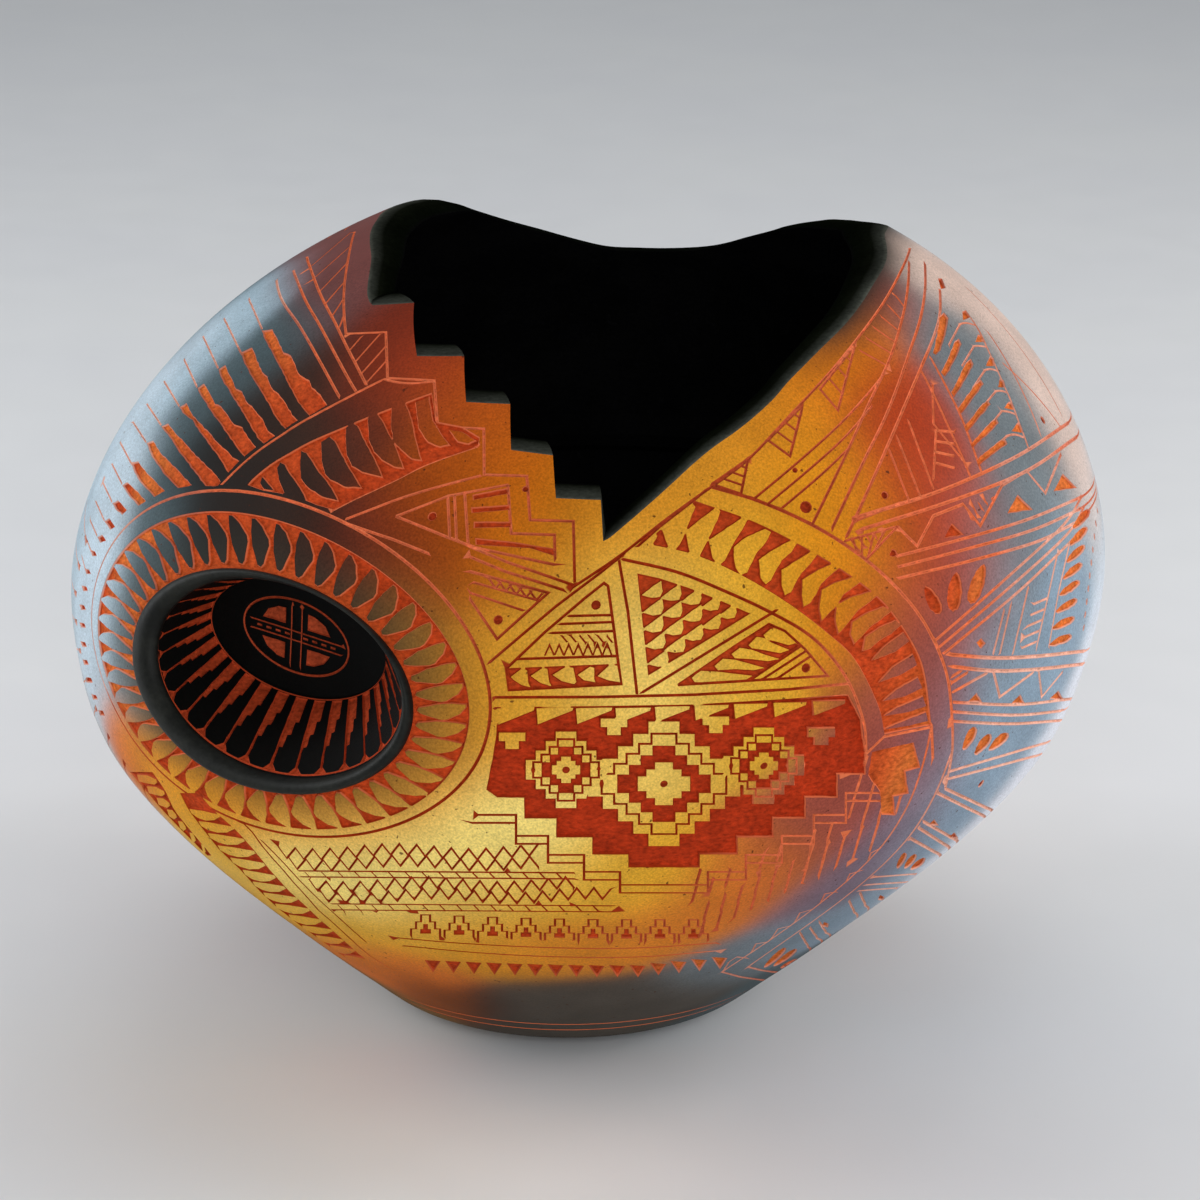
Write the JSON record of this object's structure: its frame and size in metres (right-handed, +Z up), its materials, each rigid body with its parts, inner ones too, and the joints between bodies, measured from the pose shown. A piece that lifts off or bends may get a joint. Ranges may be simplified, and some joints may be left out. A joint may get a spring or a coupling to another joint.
{
  "type": "carved ceramic pot",
  "caption": "Squat round hand-built ceramic pot with a wide saddle-shaped mouth, a stepped cut at the front of the lip, an oval rimmed window recess and carved bands over its coloured slip.",
  "frame": {"origin": "middle of the pot's plan circle, on the surface that the foot stands on", "axes": "+Z up, -Y towards the front of the pot with the stepped notch, +X to the right seen from the front"},
  "size_m": [0.25, 0.25, 0.1929],
  "materials": {
    "slip_clay": "sprayed slip colours over carved terracotta, satin",
    "foot_slip": "dark green-grey slip, satin",
    "rim_slip": "burnished dark grey slip",
    "recess_slip": "black slip cut through to terracotta",
    "inside_slip": "matt black slip"
  },
  "bodies": {
    "root": {"lower_bowl": "slip_clay", "upper_bowl": "slip_clay", "foot_slab": "foot_slip", "window_rim": "rim_slip", "window_tunnel": "recess_slip", "window_floor": "recess_slip", "foot_luting_coil": "inside_slip", "equator_luting_coil": "inside_slip", "floor_luting_coil": "inside_slip", "window_luting_coil": "inside_slip"}
  },
  "joints": []
}
